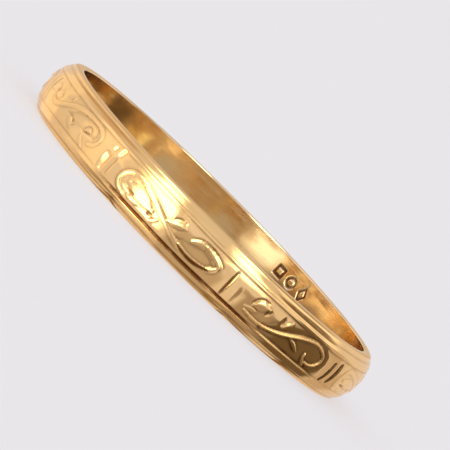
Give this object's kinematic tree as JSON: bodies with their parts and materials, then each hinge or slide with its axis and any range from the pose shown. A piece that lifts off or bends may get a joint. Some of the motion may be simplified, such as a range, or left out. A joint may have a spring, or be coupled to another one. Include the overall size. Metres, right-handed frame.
{
  "type": "wedding band",
  "caption": "Slim domed gold finger ring with raised lines, upright fluted dividers and running scroll relief round the outside, smooth bore.",
  "frame": {"origin": "centre of the rim that the ring lies on, on the finger hole's axis", "axes": "+Z along the finger hole's axis, up from the resting rim; -Y is the side shown at the front, +X to its right"},
  "size_m": [0.0192, 0.0192, 0.0025],
  "materials": {
    "gold": "polished yellow gold with light wear"
  },
  "bodies": {
    "root": {"band": "gold"}
  },
  "joints": []
}
